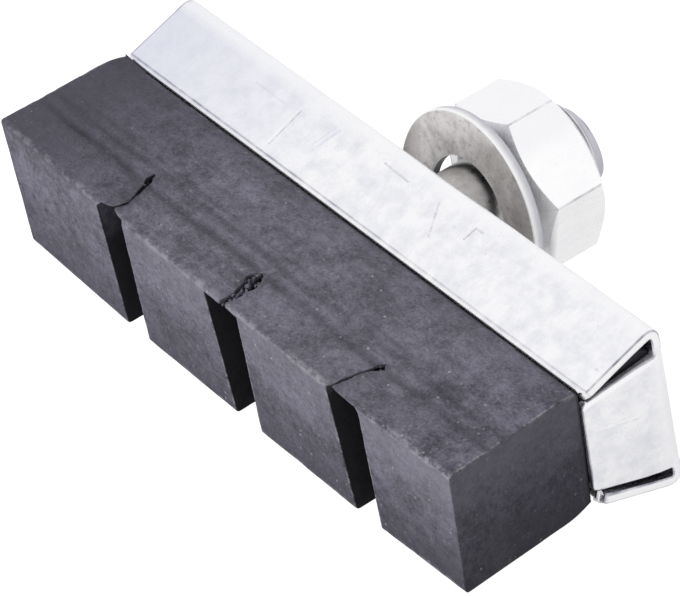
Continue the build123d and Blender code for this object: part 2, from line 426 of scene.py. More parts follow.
for (centre, width, middle), tear, drops, shares, set_back, dirt_and_painted_shade in zip(
    slots, tears, flap_drops, flap_shares, flap_recesses, flap_painted_shade
):
    tear_front, tear_end = tear[0][0], tear[-1][0]
    for vert in rubber.verts:
        x, y, z = vert.co
        if abs(x - centre) < width / 2 and y < bar_front + 0.3 and z > web_bottom:
            vert[edge_mark] *= 0.3
        if abs(x - centre) > width / 2 + 0.001 or y > bar_front + 0.001 or z < web_bottom - 0.001:
            continue
        side = 1 if x > middle else -1
        wall = centre + side * width / 2
        across = (x - wall) / (middle + side * tear_gap / 2 - wall)
        forward = (bar_front - y) / slot_depth
        torn_y = tear_end + (tear_front - tear_end) * forward
        place_x, gap = follow(tear, torn_y)
        ragged = noise.noise(Vector((centre, y * 2.2, side))) * 0.12
        ragged += noise.noise(Vector((centre, y * 6, side))) * 0.08
        torn_x = place_x + side * gap / 2 + ragged * min(1.0, 3 * gap)
        rough = noise.noise(Vector((x * 2, y * 2, side))) * 0.08
        hang = across**2 * (drops[(side + 1) // 2] + rough) * min(1.0, 3 * forward)
        thinner = 1 - (1 - shares[(side + 1) // 2]) * forward
        recess = set_back * forward**6
        vert.co.x = wall + across * (torn_x - wall)
        vert.co.y = y + across**2 * (torn_y - y) + recess
        vert.co.z = pad_half_height - (pad_half_height - z) * thinner - hang
        # Painted shade: the flap is painted darker near the tear.
        vert[painted_shade_mark] = dirt_and_painted_shade[(side + 1) // 2] * across**3
print("webs torn:", len(tears))

# %% [markdown]
# Moulding left two shallow grooves along the top, and the faces aren't quite flat. Each point is pressed in a
# little along its own normal. The slots are drafted, so they are narrower below. The tab end is slanted, the
# braking face eases back towards both ends, and the block sits a little aslant in its shoe.

# %% Rubber block: grooves, draft and slanted end
face_flat = 12.2
face_ease = 0.31
end_rake = math.radians(4.5)
end_skew = math.radians(3.4)
slot_draft = math.radians(2.5)
seat_slant = 0.0057
open_end_rise = 0.2
sheet = 0.62
tab_outer = 23.3
tab_lean = math.radians(6)
tab_twist = math.radians(4)
tab_root = 8.2
tab_step = 0.13
grooves = ((-12.15, 0.3, 0.1), (-11.0, 0.25, 0.07), (-10.3, 0.16, 0.04))
groove_strength = ((-pad_left, 0.5), (-20.0, 1.1), (4.0, 1.0), (8.0, 0.7), (12.0, 1.0), (pad_right, 1.0))
draft_shares = ((0.6, 0.6), (1.3, 0.75), (1.1, 0.5))
draft_walls = [(-pad_left, 0.0)]
for (centre, width, tear), (left, right) in zip(slots, draft_shares):
    draft_walls += [(centre - width / 2, left), (centre + width / 2, -right)]
draft_walls.append((pad_right, 0.0))
lower_edge = ((-pad_left, 0.17), (-12.0, 0.1), (0.0, 0.12), (10.0, 0.03), (pad_right, 0.02))


def lean_at(z):
    """Lean of the tab at z: its lower side is pressed further in."""
    return tab_lean + tab_twist * (tab_root / 2 - z) / tab_root


rubber.normal_update()
for vert in rubber.verts:
    in_front = min(1.0, max(0.0, mouth_front - vert.co.y))
    dip = max(0.0, noise.noise(vert.co * 0.4)) * 0.03 * in_front
    dip += max(0.0, noise.noise(vert.co * 1.3 + Vector((7, 3, 1)))) * 0.04 * vert[edge_mark]
    if vert.normal.z > 0.7:
        strength = follow(groove_strength, vert.co.x)[0]
        for y, reach, depth in grooves:
            wander = noise.noise(Vector((vert.co.x * 0.15, y, 0))) * 0.25
            fade = strength * (0.8 + 0.5 * noise.noise(Vector((vert.co.x * 0.3, 0, y))))
            pressed = fade * math.exp(-(((vert.co.y - y - wander) / reach) ** 2))
            dip += depth * pressed
            # Painted shade: the grooves are also painted darker in colour.
            vert[painted_shade_mark] = max(vert[painted_shade_mark], 7 * depth * pressed)
    vert[side_mark] = 1.0 if vert.normal.z < 0.6 else 0.0
    vert.co -= vert.normal * dip
last_wall = slot_centres[-1] + slot_widths[-1] / 2
for vert in rubber.verts:
    x, y, z = vert.co
    if y < bar_front + 0.001 and z < web_bottom:
        vert.co.x += math.tan(slot_draft) * (web_bottom - z) * follow(draft_walls, x)[0]
    end = pad_right - math.tan(end_skew) * (y + pad_depth) + math.tan(end_rake) * (z - pad_half_height)
    under_tab = tab_outer + y * math.tan(lean_at(z)) - sheet - 0.08
    end += vert[foot_mark] * (under_tab - end)
    if x > last_wall:
        vert.co.x += (end - pad_right) * (x - last_wall) / (pad_right - last_wall)
    if y < bar_front and abs(x) > face_flat:
        forward = (bar_front - y) / slot_depth
        vert.co.y += forward * face_ease * (abs(x) - face_flat) / (pad_left - face_flat)
    # Painted shade: the rubber under the flanges' mouths is painted dark, as a shaded gap.
    if y > mouth_edge - 0.001:
        vert[painted_shade_mark] = 0.9
    if abs(y - mouth_front) < 0.001 and x > pad_right - 0.01:
        vert.co.y -= tab_step
    near_mouth = follow(((-9.0, 0.0), (-5.7, 1.0)), y)[0]
    if z > 0 and vert[foot_mark] == 0:
        at_open_end = follow(((-pad_left, 1.0), (-21.0, 0.0)), x)[0]
        rise = open_end_rise * near_mouth + (mouth_drop if y > mouth_edge + 0.01 else 0.0)
        vert.co.z += rise * at_open_end - seat_slant * x * (1 - near_mouth)
    if z < 0:
        vert.co.z += follow(lower_edge, x)[0] * z / pad_half_height * (1 - near_mouth)
print("rubber block: slanted by", round(seat_slant * 2 * pad_left, 2), "mm over its length")

# %% [markdown]
# Crumbs of rubber stay in the tears, most of all in the middle one. They are small lumps of chance sizes, laid
# along the line of a tear and sunk a little below the top.

# %% Rubber block: crumbs
# The last column is how much painted shade each run of crumbs gets.
crumb_runs = ((0, 0.65, 0.95, 3, 0.5), (1, 0.02, 0.97, 32, 0.35), (2, 0.74, 0.98, 14, 0.5))
chance = random.Random(4)
for index, first, last, count, darkness in crumb_runs:
    tear = tears[index]
    for number in range(count):
        share = first + (last - first) * (number + 0.5) / count
        y = tear[0][0] + (tear[-1][0] - tear[0][0]) * share
        x, gap = follow(tear, y)
        x += chance.uniform(-0.5, 0.5) * gap
        radius = chance.uniform(0.08, 0.13 + 0.07 * gap)
        dark = darkness + chance.uniform(-0.2, 0.2)
        lump = bmesh.ops.create_icosphere(rubber, subdivisions=2, radius=radius)["verts"]
        for vert in lump:
            vert.co *= 1 + 0.8 * noise.noise(vert.co * 6 + Vector((x, y, 0)))
            vert[painted_shade_mark] = dark
        top = pad_half_height - seat_slant * x - chance.uniform(0.05, 0.3)
        bmesh.ops.translate(rubber, vec=(x, y, top - radius), verts=lump)
rubber_piece = make_piece("rubber", rubber, "rubber_block", rubber_finish, math.radians(60))

# %% [markdown]
# Zinc plating on pressed steel is nearly white under soft light. It has a blue cast where it is thick, duller
# clouds, and fine rubbing from the press. One function makes the plating, and each piece then adds its own
# marks to the colour before it reaches the shader.

# %% Finish of the plated metal
def plating(name, pale, dull, roughness, cloud_scale, rub=(2.4, 0.3, 0.3)):
    """The start of a plated finish: its parts and a colour with clouds and rubbing."""
    finish, tree, shader, place = new_finish(name)
    clouds = cloudy(tree, place, cloud_scale, 5.0, 0.65)
    rubbing = cloudy(tree, stretch(tree, place, rub), 1.5, 4.0, 0.7)
    colour = tint(tree, between(tree, clouds, 0.4, 0.68), pale, dull)
    colour = tint(tree, between(tree, rubbing, 0.56, 0.78, 0.0, 0.55), colour, dull)
    shader.inputs["Metallic"].default_value = 1.0
    dullness = between(tree, rubbing, 0.3, 0.75, roughness - 0.06, roughness + 0.1)
    tree.links.new(dullness, shader.inputs["Roughness"])
    bump(tree, shader, sums(tree, "ADD", clouds, sums(tree, "MULTIPLY", rubbing, 0.6)), 0.02, 0.5)
    return finish, tree, shader, place, colour


def stroke(tree, place, start, end, width):
    """A line on the surface: 1 within its width of the way from start to end, and 0 beyond twice that."""
    run = Vector(end) - Vector(start)
    offset = add_node(tree, "ShaderNodeVectorMath", operation="SUBTRACT")
    tree.links.new(place, offset.inputs[0])
    offset.inputs[1].default_value = start
    along = add_node(tree, "ShaderNodeVectorMath", operation="DOT_PRODUCT")
    tree.links.new(offset.outputs["Vector"], along.inputs[0])
    along.inputs[1].default_value = run / run.length_squared
    share = between(tree, along.outputs["Value"], 0.0, 1.0)
    foot = add_node(tree, "ShaderNodeVectorMath", {"Scale": share}, operation="SCALE")
    foot.inputs[0].default_value = run
    away = add_node(tree, "ShaderNodeVectorMath", operation="DISTANCE")
    tree.links.new(offset.outputs["Vector"], away.inputs[0])
    tree.links.new(foot.outputs["Vector"], away.inputs[1])
    return between(tree, away.outputs["Value"], 2 * width, width)


# %% [markdown]
# The shoe's plating gets a painted blue reflection towards its open end and a painted highlight on the bends.
# The cut faces are painted bright, partly as bare cut metal and partly as a painted highlight, with a painted
# shade line along their edges. A thin painted shade line follows the crease along each flange, just above the cut
# edge. The press left scratches across the flange and the tab; many are drawn as a painted highlight beside a
# painted shade line. Small dents are painted as grey specks of shade. Scratches are drawn as lines between two
# points, and attributes of the mesh say where the other lines are.

# %% Finish of the shoe
shoe_finish, tree, shader, place, colour = plating(
    "shoe_finish", (0.925, 0.925, 0.945), (0.78, 0.785, 0.835), 0.26, 0.8
)
axes = add_node(tree, "ShaderNodeSeparateXYZ", {"Vector": place})
# Painted reflection: the plating is tinted blue towards the open end.
painted_blue_reflection = between(tree, axes.outputs["X"], -23.0, -4.0, 0.75, 0.0)
colour = tint(tree, painted_blue_reflection, colour, (0.68, 0.695, 0.8))
# Scratches: start, end, width and colour of each line. The white lines are painted highlights, and the grey lines
# beside them painted shade.
scratches_with_painted_shading = (
    ((-9.25, -5.1, 4.24), (-9.35, -2.2, 5.21), 0.05, (0.93, 0.93, 0.95)),
    ((-9.05, -4.72, 4.37), (-9.12, -2.1, 5.24), 0.04, (0.58, 0.57, 0.6)),
    ((-6.01, -3.48, 4.78), (-5.6, -1.74, 5.37), 0.07, (0.7, 0.73, 0.84)),
    ((-6.4, -3.3, 4.84), (-6.0, -1.7, 5.38), 0.04, (0.72, 0.73, 0.8)),
    ((-13.69, -2.25, 5.19), (-10.68, -2.29, 5.18), 0.05, (0.72, 0.72, 0.77)),
    ((-0.97, -1.68, 5.38), (1.46, -1.78, 5.35), 0.05, (0.66, 0.66, 0.7)),
    ((4.49, -1.74, 5.37), (5.84, -3.63, 4.73), 0.05, (0.62, 0.62, 0.67)),
    ((7.95, -2.54, 5.1), (8.02, -1.65, 5.4), 0.05, (0.5, 0.5, 0.55)),
    ((8.02, -1.65, 5.4), (8.73, -1.66, 5.39), 0.05, (0.58, 0.58, 0.63)),
    ((22.72, -5.0, 1.06), (23.04, -2.45, 0.64), 0.06, (1.0, 1.0, 1.0)),
    ((22.74, -4.9, 0.9), (23.04, -2.35, 0.48), 0.045, (0.5, 0.5, 0.54)),
    ((22.72, -5.3, -1.37), (23.0, -2.82, -1.73), 0.06, (1.0, 1.0, 1.0)),
    ((22.72, -5.2, -1.53), (23.0, -2.72, -1.9), 0.045, (0.5, 0.5, 0.54)),
    ((22.75, -5.26, 2.72), (22.75, -5.2, 2.72), 0.05, (0.55, 0.54, 0.56)),
    ((22.76, -5.12, 2.1), (22.76, -5.07, 2.1), 0.05, (0.55, 0.54, 0.56)),
    ((22.77, -5.04, 1.74), (22.77, -5.0, 1.74), 0.04, (0.6, 0.58, 0.58)),
    ((23.1, -1.88, -1.72), (23.1, -1.84, -1.7), 0.05, (0.55, 0.55, 0.58)),
    ((22.09, -3.99, 4.61), (22.15, -3.99, 4.61), 0.07, (0.66, 0.66, 0.7)),
    ((-23.45, -0.64, 5.58), (-23.25, -0.64, 5.58), 0.12, (0.3, 0.3, 0.33)),
)
breaks = between(tree, cloudy(tree, place, 3.0, 4.0, 0.7), 0.36, 0.6, 0.1, 1.0)
for start, end, width, paint in scratches_with_painted_shading:
    mark = sums(tree, "MULTIPLY", stroke(tree, place, start, end, width), breaks)
    colour = tint(tree, mark, colour, paint)
uneven = between(tree, cloudy(tree, place, 0.8, 3.0, 0.6), 0.35, 0.65, 0.4, 1.0)
fainter = sums(tree, "MULTIPLY", uneven, between(tree, axes.outputs["X"], -6.0, 6.0, 1.0, 0.5))
# Painted shade: small dents are painted as grey specks.
painted_dent_shade = specks(tree, place, 1.3, 0.09, 0.3)
colour = tint(tree, sums(tree, "MULTIPLY", painted_dent_shade, 0.4), colour, (0.5, 0.5, 0.56))
# Painted highlight along the bends.
painted_bend_highlight = between(tree, axes.outputs["Y"], -1.6, -0.9)
colour = tint(tree, sums(tree, "MULTIPLY", painted_bend_highlight, 0.7), colour, (0.93, 0.93, 0.95))
# Partly bare cut metal and partly painted highlight: the cut faces are painted near white and rougher.
cut_and_painted_highlight = add_node(tree, "ShaderNodeAttribute", attribute_name="cut").outputs["Fac"]
colour = tint(tree, cut_and_painted_highlight, colour, (0.97, 0.97, 0.98))
dullness = shader.inputs["Roughness"].links[0].from_socket
dullness = sums(tree, "MAXIMUM", dullness, sums(tree, "MULTIPLY", cut_and_painted_highlight, 0.42))
tree.links.new(dullness, shader.inputs["Roughness"])
# Painted shade: dark lines along the crease and along the broken edges.
for attribute, paint in (("crease", (0.25, 0.25, 0.31)), ("edge", (0.24, 0.24, 0.3))):
    line = add_node(tree, "ShaderNodeAttribute", attribute_name=attribute).outputs["Fac"]
    colour = tint(tree, sums(tree, "MULTIPLY", line, fainter if attribute == "crease" else uneven), colour, paint)
tree.links.new(colour, shader.inputs["Base Color"])
print("shoe finish has", len(tree.nodes), "nodes")

# %% [markdown]
# The shoe is one sheet, cut flat and then folded: a back plate, two flanges that lean in over the rubber and a
# tab across one end. The mesh is folded the same way. It starts as the flat plate, its edges are extruded to
# the lines where the folds would meet, and those lines are bevelled to round bends. Last it gets its thickness.

# %% Shoe: plate, flanges and tab
shoe_left = 23.6
shoe_right = 22.8
shoe_height = 11.25
flange_reach = 5.6
flange_lean = math.radians(18.5)
bend_outside = 0.82
corner_height = shoe_height / 2 - bend_outside * (1 - (1 + math.sin(flange_lean)) / math.cos(flange_lean))
tab_reach = 5.7
tab_tip = 6.3
tab_line = 22.3
shoe = bmesh.new()
edge_mark = shoe.verts.layers.float.new("edge")
cut_mark = shoe.verts.layers.float.new("cut")
crease_mark = shoe.verts.layers.float.new("crease")
cut_faces = shoe.faces.layers.int.new("cut_faces")
bmesh.ops.create_grid(shoe, x_segments=1, y_segments=1, size=0.5)
bmesh.ops.rotate(shoe, matrix=Matrix.Rotation(math.radians(-90), 3, "X"), verts=shoe.verts)
bmesh.ops.scale(shoe, vec=(shoe_left + shoe_right, 1, 2 * corner_height), verts=shoe.verts)
bmesh.ops.translate(shoe, vec=((shoe_right - shoe_left) / 2, 0, 0), verts=shoe.verts)
bmesh.ops.bisect_plane(shoe, geom=everything(shoe), plane_co=(tab_line, 0, 0), plane_no=(1, 0, 0))
for z in (-tab_root / 2, tab_root / 2):
    bmesh.ops.bisect_plane(shoe, geom=everything(shoe), plane_co=(0, 0, z), plane_no=(0, 0, 1))
middles = [(f, f.calc_center_median()) for f in shoe.faces]
notch = [f for f, middle in middles if middle.x > tab_line and abs(middle.z) < tab_root / 2]
bmesh.ops.delete(shoe, geom=notch, context="FACES")


def edges_where(bm, test):
    """Edges whose two ends both pass a test."""
    return [e for e in bm.edges if test(e.verts[0].co) and test(e.verts[1].co)]


def fold_out(bm, edges, move):
    """Extrudes edges of a sheet, moves the new ones and returns them."""
    grown = bmesh.ops.extrude_edge_only(bm, edges=edges)["geom"]
    bmesh.ops.translate(bm, vec=move, verts=[v for v in grown if isinstance(v, bmesh.types.BMVert)])
    return [e for e in grown if isinstance(e, bmesh.types.BMEdge) and len(e.link_faces) == 1]


for side in (1, -1):
    rim = edges_where(shoe, lambda co: abs(co.z - side * corner_height) < 0.01)
    fold_out(shoe, rim, (0, -flange_reach, -side * flange_reach * math.tan(flange_lean)))
root = edges_where(shoe, lambda co: abs(co.x - tab_line) < 0.01 and abs(co.z) < tab_root / 2 + 0.01)
fold_out(shoe, root, (tab_outer - tab_line, 0, 0))
tab_bend = edges_where(shoe, lambda co: abs(co.x - tab_outer) < 0.01)
fold_out(shoe, tab_bend, (-tab_reach * math.tan(tab_lean), -tab_reach, 0))
flange_bends = edges_where(shoe, lambda co: abs(abs(co.z) - corner_height) < 0.01)
for edges, turn in ((flange_bends, math.pi / 2 + flange_lean), (tab_bend, math.pi / 2 + tab_lean)):
    bmesh.ops.bevel(
        shoe, geom=edges, offset=bend_outside * math.tan(turn / 2), offset_type="OFFSET", segments=8, profile=0.5,
        affect="EDGES", clamp_overlap=False, material=-1,
    )
tip = [v for v in shoe.verts if v.co.y < -tab_reach + 0.01]
bmesh.ops.scale(shoe, vec=(1, 1, tab_tip / tab_root), verts=tip)
print("folded sheet:", len(shoe.faces), "faces")

# %% [markdown]
# The sheet's free corners are rounded. The stud's hole is cut by filling the plate again, between its outline
# and a circle. The press rolled the flanges' edges over, so the last strip beside each mouth leans further in.
# Then the sheet is dented a little, gets its thickness on the inner side, and its cut edges are broken.

# %% Shoe: corners, hole, rolled edges and thickness
stud_hole_radius = 3.1
flange_corner = 0.5
open_corner = 0.3
tab_corner = 0.15
roll_start = -5.3
roll_drop = 0.08
crease_reach = 0.1
tab_drop = 0.045
tab_roll = 0.36
side_start = Vector((0, -0.9, tab_root / 2))
side_run = Vector((0, -tab_reach - side_start.y, (tab_tip - tab_root) / 2))
side_out = side_run.cross(Vector((1, 0, 0))).normalized()
mouth_corners = [v for v in shoe.verts if len(v.link_edges) == 2 and -tab_reach + 0.01 < v.co.y < -5]
for corners, radius in (
    ([v for v in mouth_corners if v.co.x > 0], flange_corner),
    ([v for v in mouth_corners if v.co.x < 0], open_corner),
    ([v for v in shoe.verts if v.co.y < -tab_reach + 0.01], tab_corner),
):
    bmesh.ops.bevel(
        shoe, geom=corners, offset=radius, offset_type="OFFSET", segments=4, profile=0.5, affect="VERTICES",
        clamp_overlap=True, material=-1,
    )
plate = max(shoe.faces, key=lambda f: f.calc_area() if abs(f.normal.y) > 0.99 else 0)
outline = list(plate.edges)
bmesh.ops.delete(shoe, geom=[plate], context="FACES_ONLY")
upright = Matrix.Rotation(math.radians(90), 4, "X")
circle = bmesh.ops.create_circle(shoe, cap_ends=False, segments=48, radius=stud_hole_radius, matrix=upright)
circle_edges = list({e for v in circle["verts"] for e in v.link_edges})
bmesh.ops.triangle_fill(shoe, use_beauty=True, edges=outline + circle_edges, normal=(0, 1, 0))
for x in (0.22 - shoe_left, *range(-23, 23)):
    bmesh.ops.bisect_plane(shoe, geom=everything(shoe), plane_co=(x, 0, 0), plane_no=(1, 0, 0))
for y in (-1.6, -2.5, -3.4, -4.3, roll_start + crease_reach, roll_start, roll_start - crease_reach):
    bmesh.ops.bisect_plane(shoe, geom=everything(shoe), plane_co=(0, y, 0), plane_no=(0, 1, 0))
for z in (-3, -2, -1, 0, 1, 2, 3):
    bmesh.ops.bisect_plane(shoe, geom=everything(shoe), plane_co=(0, 0, z), plane_no=(0, 0, 1))
for share in (0.25, 0.5, 0.75, 1.0):
    middles = [(f, f.calc_center_median()) for f in shoe.faces]
    tab = [f for f, middle in middles if middle.y < side_start.y and abs(middle.z) < tab_root / 2 - middle.y * 0.0]
    tab = [f for f in tab if f.calc_center_median().x > tab_line and abs(f.normal.z) < 0.3]
    tab_geom = tab + list({e for f in tab for e in f.edges}) + list({v for f in tab for v in f.verts})
    row = side_start - side_out * tab_roll * share
    bmesh.ops.bisect_plane(shoe, geom=tab_geom, plane_co=row, plane_no=side_out)
bmesh.ops.recalc_face_normals(shoe, faces=shoe.faces)
shoe.normal_update()
outwards = sum(f.normal.y * f.calc_area() for f in shoe.faces)
if outwards < 0:
    bmesh.ops.reverse_faces(shoe, faces=shoe.faces)
shoe.normal_update()
for vert in shoe.verts:
    if abs(vert.co.y - roll_start) < 0.001 and abs(vert.co.z) > tab_tip / 2 + 0.5:
        vert[crease_mark] = 1.0
    vert.co -= vert.normal * max(0.0, noise.noise(vert.co * 0.3)) * 0.05
    if vert.co.x < shoe_right and vert.co.y < roll_start:
        rolled = (roll_start - vert.co.y) / (flange_reach + roll_start)
        vert.co.z -= math.copysign(roll_drop * rolled, vert.co.z)
    if vert.co.x > tab_line and abs(vert.co.z) < tab_root / 2 + 0.01:
        vert.co.x += vert.co.y * (math.tan(lean_at(vert.co.z)) - math.tan(tab_lean))
        if vert.co.z < 0:
            vert.co.z *= 1 + tab_drop * follow(((-2.0, 1.0), (-1.0, 0.0)), vert.co.y)[0]
bmesh.ops.solidify(shoe, geom=shoe.faces[:], thickness=sheet)


def beside_tab_root(co):
    """Whether a point is on the cut that parts the tab's root from the flanges."""
    return co.y > -1.2 and co.x > tab_line - 0.1 and abs(abs(co.z) - tab_root / 2) < 0.05


for vert in shoe.verts:
    inward = (side_start - vert.co).dot(side_out)
    outer = tab_outer + vert.co.y * math.tan(lean_at(vert.co.z))
    if abs(vert.co.x - outer) < 0.1 and vert.co.y < side_start.y and -0.1 < inward < tab_roll - 0.01:
        turned = min(0.9, 1 - inward / tab_roll)
        fade = follow(((-1.9, 1.0), (-0.9, 0.0)), vert.co.y)[0]
        vert.co.x -= tab_roll * (1 - math.sqrt(1 - turned**2)) * fade
        vert[cut_mark] = 1.0
shoe.normal_update()
sharp = {e for e in shoe.edges if len(e.link_faces) == 2 and e.calc_face_angle_signed() > math.radians(50)}
for face in shoe.faces:
    sides = [e for e in face.edges if e in sharp]
    if len(sides) == 2 and not set(sides[0].verts) & set(sides[1].verts):
        face[cut_faces] = 1
broken = bmesh.ops.bevel(
    shoe, geom=[e for e in sharp if not all(beside_tab_root(v.co) for v in e.verts)], offset=0.13,
    offset_type="OFFSET", segments=3, profile=0.5, affect="EDGES", clamp_overlap=False, material=-1,
)
broken_faces = set(broken["faces"])
for face in shoe.faces:
    if face[cut_faces] and face not in broken_faces:
        for vert in face.verts:
            vert[cut_mark] = 1.0
for vert in broken["verts"]:
    if broken_faces.issuperset(vert.link_faces) or vert.co.x < 0.2 - shoe_left:
        on_mouth = vert.co.y < roll_start - 0.05 and vert.co.z > tab_tip / 2 + 0.1
        vert[cut_mark if on_mouth else edge_mark] = 1.0
print("cut edges broken with", len(broken_faces), "faces")
shoe_piece = make_piece("shoe_sheet", shoe, "shoe", shoe_finish, math.radians(30))

# %% [markdown]
# The stud has a rolled M6 thread with a pitch of 1 mm. One tooth's outline is swept round the axis and moved on
# by a pitch for each turn, which is a spin with a step along the axis. The thread is cut off at both ends, its
# free end is turned down, and a flat head sits inside the shoe.

# %% Stud with its thread
thread_pitch = 1.0
thread_crest = 2.98
thread_root = 2.42
stud_start = -0.9
stud_end = 10.93
neck_radius = 2.68
neck_end = 4.6
neck_run_out = 0.6
end_chamfer = 0.5
head_radius = 4.1
head_thickness = 1.4
turn_steps = 48
tooth = (
    (0.0, thread_root),
    (0.125, thread_root),
    (0.4375, thread_crest),
    (0.5625, thread_crest),
    (0.875, thread_root),
    (1.0, thread_root),
)
stud = bmesh.new()
crest_height_mark = stud.verts.layers.float.new("edge")
points = [stud.verts.new((radius, stud_start - 1.5 + y * thread_pitch, 0)) for y, radius in tooth]
lines = [stud.edges.new(pair) for pair in zip(points, points[1:])]
turns = math.ceil((stud_end - stud_start) / thread_pitch) + 2
bmesh.ops.spin(
    stud, geom=points + lines, cent=(0, 0, 0), axis=(0, -1, 0), dvec=(0, thread_pitch / turn_steps, 0),
    angle=2 * math.pi * turns, steps=turn_steps * turns,
)
bmesh.ops.remove_doubles(stud, verts=stud.verts, dist=0.002)
for y, way in ((stud_start, -1), (stud_end, 1)):
    cut = bmesh.ops.bisect_plane(
        stud, geom=everything(stud), plane_co=(0, y, 0), plane_no=(0, way, 0), clear_outer=True, dist=0.001,
    )["geom_cut"]
    rim = [e for e in cut if isinstance(e, bmesh.types.BMEdge)]
    bmesh.ops.holes_fill(stud, edges=rim)
for vert in stud.verts:
    radius = math.hypot(vert.co.x, vert.co.z)
    on_thread = follow(((neck_end - neck_run_out, 0.0), (neck_end, 1.0)), vert.co.y)[0]
    wanted = neck_radius + on_thread * (radius - neck_radius)
    wanted = min(wanted, thread_crest - max(0.0, vert.co.y - stud_end + end_chamfer))
    if radius > 1:
        bmesh.ops.scale(stud, vec=(wanted / radius, 1, wanted / radius), verts=[vert])
    vert[crest_height_mark] = on_thread * max(0.0, (wanted - thread_root) / (thread_crest - thread_root))
head_place = Matrix.Translation((0, -sheet - head_thickness / 2, 0)) @ upright
head = bmesh.ops.create_cone(
    stud, cap_ends=True, segments=48, radius1=head_radius, radius2=head_radius, depth=head_thickness, matrix=head_place,
)["verts"]
head_rims = {e for v in head for e in v.link_edges if e.calc_face_angle() > 1}
bmesh.ops.bevel(
    stud, geom=list(head_rims), offset=0.25, offset_type="OFFSET", segments=2, profile=0.5, affect="EDGES",
    clamp_overlap=True, material=-1,
)
bmesh.ops.recalc_face_normals(stud, faces=stud.faces)
stud_finish, tree, shader, place, colour = plating(
    "stud_finish", (0.8, 0.79, 0.78), (0.52, 0.51, 0.5), 0.3, 0.9
)
# Painted shade: the thread's roots and the plain neck are painted darker than the crests.
crest = add_node(tree, "ShaderNodeAttribute", attribute_name="edge").outputs["Fac"]
colour = tint(tree, between(tree, crest, 0.9, 0.1, 0.0, 0.6), colour, (0.24, 0.23, 0.22))
dirt_and_painted_shade = cloudy(tree, stretch(tree, place, (1, 0.6, 1)), 1.6, 4.0, 0.7)
colour = tint(tree, between(tree, dirt_and_painted_shade, 0.44, 0.6), colour, (0.5, 0.485, 0.49))
axes = add_node(tree, "ShaderNodeSeparateXYZ", {"Vector": place})
# Painted shade: the stud's free end is painted a darker blue-grey.
painted_end_shade = between(tree, axes.outputs["Y"], 9.8, 10.4, 0.0, 0.8)
colour = tint(tree, painted_end_shade, colour, (0.56, 0.56, 0.63))
tree.links.new(colour, shader.inputs["Base Color"])
stud_piece = make_piece("threaded_stud", stud, "stud", stud_finish)

# %% [markdown]
# The nut is turned and then has six flats. So its turned outline is spun to a disc with chamfered faces and a
# countersunk bore, six planes cut the flats off, and each cut is filled with one face. The corners are rounded
# as plating and handling leave them.

# %% Nut
nut_near = 4.5
nut_far = 9.5
nut_half_flats = 5.0
nut_corner_angle = 12.5
nut_face_radius = 4.2
nut_blank_radius = 6.2
nut_bore_radius = 3.05
nut_countersink = 0.4
chamfer_rise = (nut_blank_radius - nut_face_radius) * math.tan(math.radians(30))
turned = (
    (nut_bore_radius, nut_near + nut_countersink),
    (nut_bore_radius + nut_countersink, nut_near),
    (nut_face_radius, nut_near),
    (nut_blank_radius, nut_near + chamfer_rise),
    (nut_blank_radius, nut_far - chamfer_rise),
    (nut_face_radius, nut_far),
    (nut_bore_radius + nut_countersink, nut_far),
    (nut_bore_radius, nut_far - nut_countersink),
)
nut = bmesh.new()
corner_mark = nut.verts.layers.float.new("edge")
points = [nut.verts.new((radius, y, 0)) for radius, y in turned]
lines = [nut.edges.new((points[i - 1], points[i])) for i in range(len(points))]
bmesh.ops.spin(
    nut, geom=points + lines, cent=(0, 0, 0), axis=(0, 1, 0), angle=2 * math.pi, steps=96, use_merge=True,
)
bmesh.ops.remove_doubles(nut, verts=nut.verts, dist=0.001)
bmesh.ops.recalc_face_normals(nut, faces=nut.faces)
for i in range(6):
    angle = math.radians(nut_corner_angle + 30 + 60 * i)
    away = Vector((math.cos(angle), 0, math.sin(angle)))
    cut = bmesh.ops.bisect_plane(
        nut, geom=everything(nut), plane_co=away * nut_half_flats, plane_no=away, clear_outer=True, dist=0.0001,
    )["geom_cut"]
    bmesh.ops.edgeloop_fill(nut, edges=[e for e in cut if isinstance(e, bmesh.types.BMEdge)])
bmesh.ops.recalc_face_normals(nut, faces=nut.faces)
corners = [e for e in nut.edges if abs(e.verts[0].co.y - e.verts[1].co.y) > 1 and e.calc_face_angle() > 0.9]
corner_faces = bmesh.ops.bevel(
    nut, geom=corners, offset=0.12, offset_type="OFFSET", segments=4, profile=0.5, affect="EDGES",
    clamp_overlap=True, material=-1,
)["faces"]
for vert in {v for f in corner_faces for v in f.verts}:
    on_corner = [f for f in vert.link_faces if f in set(corner_faces)]
    vert[corner_mark] = 1.0 if len(on_corner) > 1 else 0.0
nut_finish, tree, shader, place, colour = plating("nut_finish", (0.985, 0.985, 0.99), (0.945, 0.945, 0.965), 0.24, 0.4)
corner = add_node(tree, "ShaderNodeAttribute", attribute_name="edge").outputs["Fac"]
axes = add_node(tree, "ShaderNodeSeparateXYZ", {"Vector": place})
# Painted shade: the nut's upper part is painted a little greyer.
colour = tint(tree, between(tree, axes.outputs["Z"], 3.4, 4.4, 0.0, 0.7), colour, (0.89, 0.89, 0.92))
shaded = sums(
    tree, "MULTIPLY", between(tree, axes.outputs["Y"], 5.5, 5.0), between(tree, axes.outputs["Z"], 2.0, -1.5, 0.0, 0.7)
)
colour = tint(tree, shaded, colour, (0.42, 0.42, 0.45))
# Painted shade: grey lines along the rounded corners, uneven along their length.
painted_shading = between(tree, cloudy(tree, place, 0.7, 3.0, 0.6), 0.4, 0.6, 0.1, 0.8)
colour = tint(tree, sums(tree, "MULTIPLY", corner, painted_shading), colour, (0.5, 0.5, 0.55))
tree.links.new(colour, shader.inputs["Base Color"])
nut_piece = make_piece("hexagon_nut", nut, "nut", nut_finish)

